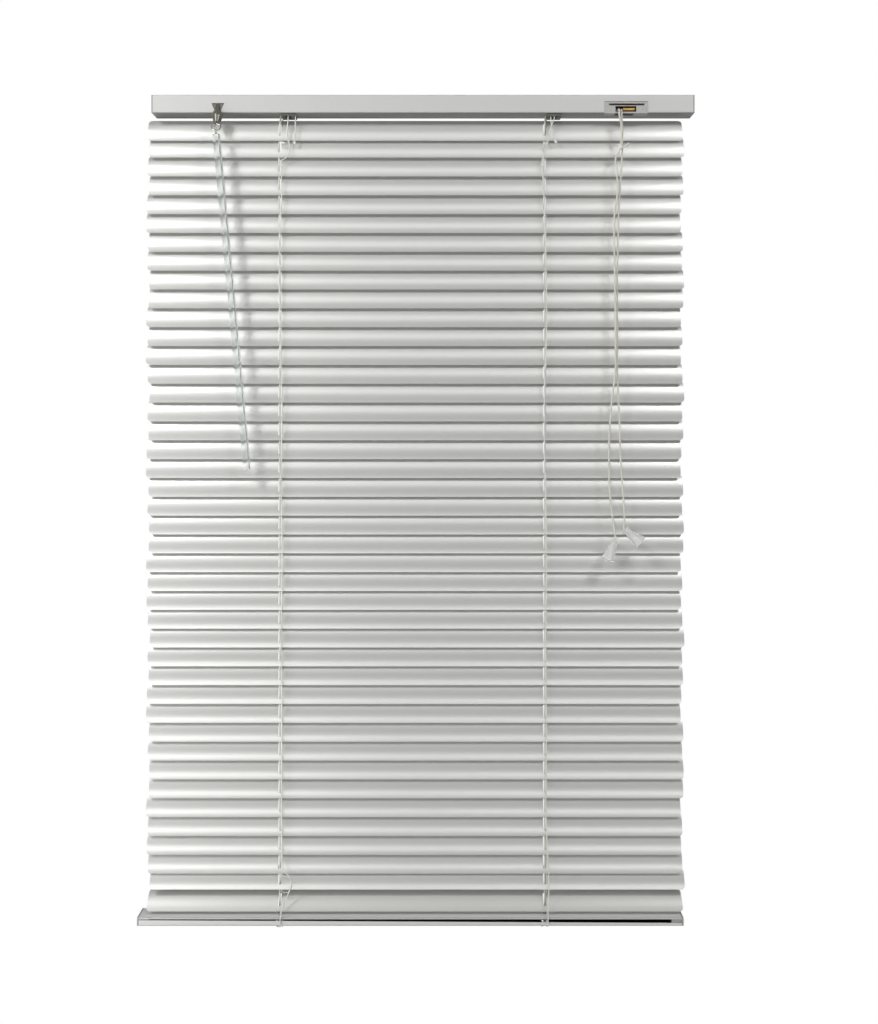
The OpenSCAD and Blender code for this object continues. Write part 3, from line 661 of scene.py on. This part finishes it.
def held_run(k):
    """From the button up through the slats, over the cradle, along the rail and into the lock."""
    low_x, x, out = LADDERS[k], CRADLES[k], LOCK_X + CORD_EXIT[k]
    knee = on_slat(SLATS[0], 0, 0)[1] + 5.5 * MM
    gate, run = LOCK_X - 26 * MM, MID_Y + (2.5 if k else -2.5) * MM
    front = rail_low.y
    return smooth_path([
        (low_x, MID_Y, sill_low.z - 2.5 * MM), (low_x, MID_Y, sill_low.z + 0.2),
        (low_x, MID_Y, knee - 0.2), (low_x, MID_Y, knee - 1.5 * MM),
        (x, MID_Y, rail_low.z), (x + 0.4 * MM, MID_Y, RUN_Z - 1.5 * MM),
        (x + 3 * MM, MID_Y, RUN_Z), (x + 8 * MM, MID_Y, RUN_Z),
        ((x + gate) / 2, run, RUN_Z), (gate, run, RUN_Z),
        (out - 4 * MM, front + 6.5 * MM, RUN_Z), (out - 1 * MM, front + 3.5 * MM, RUN_Z),
        (out, front, RUN_Z), (out, pull_y(k) + 0.9 * MM, RUN_Z - 0.3 * MM),
        (out, pull_y(k), RUN_Z - GATE_DROP)], 5)


def pull_run(k):
    """From the lock down to the knot in the tassel."""
    way, out = tassel_way(k), LOCK_X + CORD_EXIT[k]
    return smooth_path([
        (out, pull_y(k), RUN_Z - GATE_DROP), (out, pull_y(k), RUN_Z - 6 * MM),
        *((LOCK_X + x * MM, pull_y(k), z * MM) for x, z in PULL[k]),
        TASSEL_TOP[k] - 2 * MM * way, TASSEL_TOP[k] + 5 * MM * way], 4)


def lathe(bm, profile, place, way, sides=40):
    """Turns a closed profile of (radius, distance along way) about the line from place along way."""
    turn = Vector((0, 0, -1)).rotation_difference(way).to_matrix()
    spots = [bm.verts.new(place + turn @ Vector((r, 0, -d))) for r, d in profile]
    edges = [bm.edges.new((a, b)) for a, b in zip(spots, spots[1:] + spots[:1])]
    bmesh.ops.spin(bm, geom=spots + edges, cent=place, axis=way, angle=2 * math.pi,
                   steps=sides, use_merge=True)
    bmesh.ops.remove_doubles(bm, verts=bm.verts[:], dist=NEAR)
    bmesh.ops.recalc_face_normals(bm, faces=bm.faces[:])


# Wall of a bell tassel, outside and back up the inside: (radius, depth) in mm
BELL = ((1.15, 0), (3, 0), (3.6, 0.5), (4, 2), (4.2, 5), (4.6, 8), (5.5, 13), (6.7, 18.5),
        (7.2, 20.2), (7.5, 21.2), (7.3, 21.9), (6.7, 22), (6.2, 21.2), (5.8, 18.5), (4.7, 13),
        (3.8, 8.5), (3, 5.6), (2, 4.2), (1.15, 4))


def draw_bell(bm, k):
    lathe(bm, [(r * MM, d * MM) for r, d in BELL], TASSEL_TOP[k], tassel_way(k))


# A tight overhand knot is a trefoil of cord; its reach and thickness are in the trefoil's units
KNOT_REACH, KNOT_THICK, KNOT_STEPS = 3.6, 1.0, 48


def knot_into(bm, place, size, scale):
    """Ties a knot that reaches size from its middle, stretched along x, y and z by scale."""
    unit = size / KNOT_REACH
    path = []
    for k in range(KNOT_STEPS + 1):
        t = 2 * math.pi * k / KNOT_STEPS
        spot = (math.sin(t) + 2 * math.sin(2 * t), -math.sin(3 * t),
                math.cos(t) - 2 * math.cos(2 * t))
        path.append(place + unit * Vector(a * b for a, b in zip(spot, scale)))
    tube_into(bm, path, unit * KNOT_THICK, 8)


# Knots of the ladders' upper ends, and the loose tail from each cradle:
# (x from the cradle, z) in mm
KNOTS = (((-5.4, -42), (7.1, -42), (-7.7, -66)), ((-9.4, -43), (1.6, -41), (-13.3, -66)))
TAILS = (((8.2, -17), (7.9, -30), (7.1, -41)), ((-3.9, -17), (-2.5, -28), (1.2, -40)))
TAIL_Y, LADDER_KNOT = front_of(SLATS[0]) - 0.6 * MM, 1.6 * MM


def draw_knots(bm):
    for k, x in enumerate(CRADLES):
        for dx, z in KNOTS[k]:
            knot_into(bm, Vector((x + dx * MM, TAIL_Y, z * MM)), LADDER_KNOT, (1.1, 1, 0.9))


def draw_tails(bm):
    for k, x in enumerate(CRADLES):
        inside = (x + TAILS[k][0][0] * MM, MID_Y - DRUM_R, rail_low.z + 2 * MM)
        path = smooth_path([inside, *((x + dx * MM, TAIL_Y, z * MM) for dx, z in TAILS[k])])
        tube_into(bm, path, STRING_D / 2)


piece("ladder_knots", mesh_of("ladder_knots", draw_knots), "head", knot_white)
piece("ladder_tails", mesh_of("ladder_tails", draw_tails), "head", string_braid)


STOP_DEPTH, STOP_KNOT, PULL_KNOT = 5.6 * MM, 2 * MM, 2.8 * MM
PULL_TAIL = ((0, 0, 0), (4, -0.5, -1), (7.5, 0, 1), (10, 0.5, 4))


def cord_piece(name, path):
    """A length of lift cord, on the head rail."""
    mesh = mesh_of(name, lambda bm: tube_into(bm, path, CORD_D / 2))
    return piece(name, mesh, "head", cord_braid)


for k, side in enumerate(("left", "right")):
    cord_piece(f"lift_cord_{side}", held_run(k))
    path = pull_run(k)
    pull = cord_piece(f"pull_cord_{side}", path)
    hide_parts("lift_cords")
    bell = piece(f"tassel_{side}", mesh_of(f"tassel_{side}", lambda bm: draw_bell(bm, k)),
                 "head", bell_plastic)
    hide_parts("tassels")
    stop_at = TASSEL_TOP[k] + STOP_DEPTH * tassel_way(k)
    stop = piece(f"tassel_knot_{side}", mesh_of(
        f"tassel_knot_{side}", lambda bm: knot_into(bm, stop_at, STOP_KNOT, (1, 1.4, 1))),
        "head", cord_braid)
    on_cord = [bell, stop]
    if side == "left":
        knot_at = Vector((LOCK_X - 8.2 * MM, pull_y(k) - 0.8 * MM, -49 * MM))
        knot = piece("pull_cord_knot", mesh_of(
            "pull_cord_knot", lambda bm: knot_into(bm, knot_at, PULL_KNOT, (0.9, 1.2, 1.35))),
            "head", knot_white)
        tail = smooth_path([knot_at + Vector(step) * MM for step in PULL_TAIL])
        on_cord += [knot, cord_piece("pull_cord_tail", tail)]


# Hook of the wand, on the stem: (x, distance along the stem) in mm
STEM = Vector(PIVOTS["stem"]["pos_m"])
STEM_WAY = Vector(PIVOTS["stem"]["axis"])
STEM_END, HOOK_R, HOOK_D = 29.03, 5, 1.6 * MM
BOWL = STEM_END + 10.5 - HOOK_R
bowl_line = [(HOOK_R * math.cos(math.radians(a)), BOWL + HOOK_R * math.sin(math.radians(a)))
             for a in range(0, 181, 20)]
hook_line = [(0, STEM_END - 6), (0, STEM_END + 0.6), (1.6, STEM_END + 2), (4, STEM_END + 3.4),
             *bowl_line, (-HOOK_R - 0.5, BOWL - 1.6)]
hook_path = smooth_path(
    [STEM + STEM_WAY * d * MM + Vector((x * MM, 0, 0)) for x, d in hook_line], 4)
hook = piece("wand_hook_wire", mesh_of(
    "wand_hook_wire", lambda bm: tube_into(bm, hook_path, HOOK_D / 2, 12)),
    "stem", zinc)
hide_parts("wand_hook")


# CAD pieces that show as they are
for name, made in (
        ("head_rail", rail_paint), ("bottom_rail", sill_paint), ("head_rail_end_caps", cap_plastic),
        ("bottom_rail_caps", cap_plastic), ("ladder_cradles", shaded_cradle_plastic),
        ("ladder_drums", white_plastic), ("tilter_gear", white_plastic),
        ("tilter_housing", tilter_alloy), ("tilter_worm", tilter_alloy), ("tilt_rod", zinc),
        ("cord_lock_housing", lock_steel), ("cord_lock_roller", brass),
        ("wand", clear), ("cord_buttons", clear)):
    mesh = frame["nodes"][name].data
    mesh.materials.clear()
    mesh.materials.append(made)
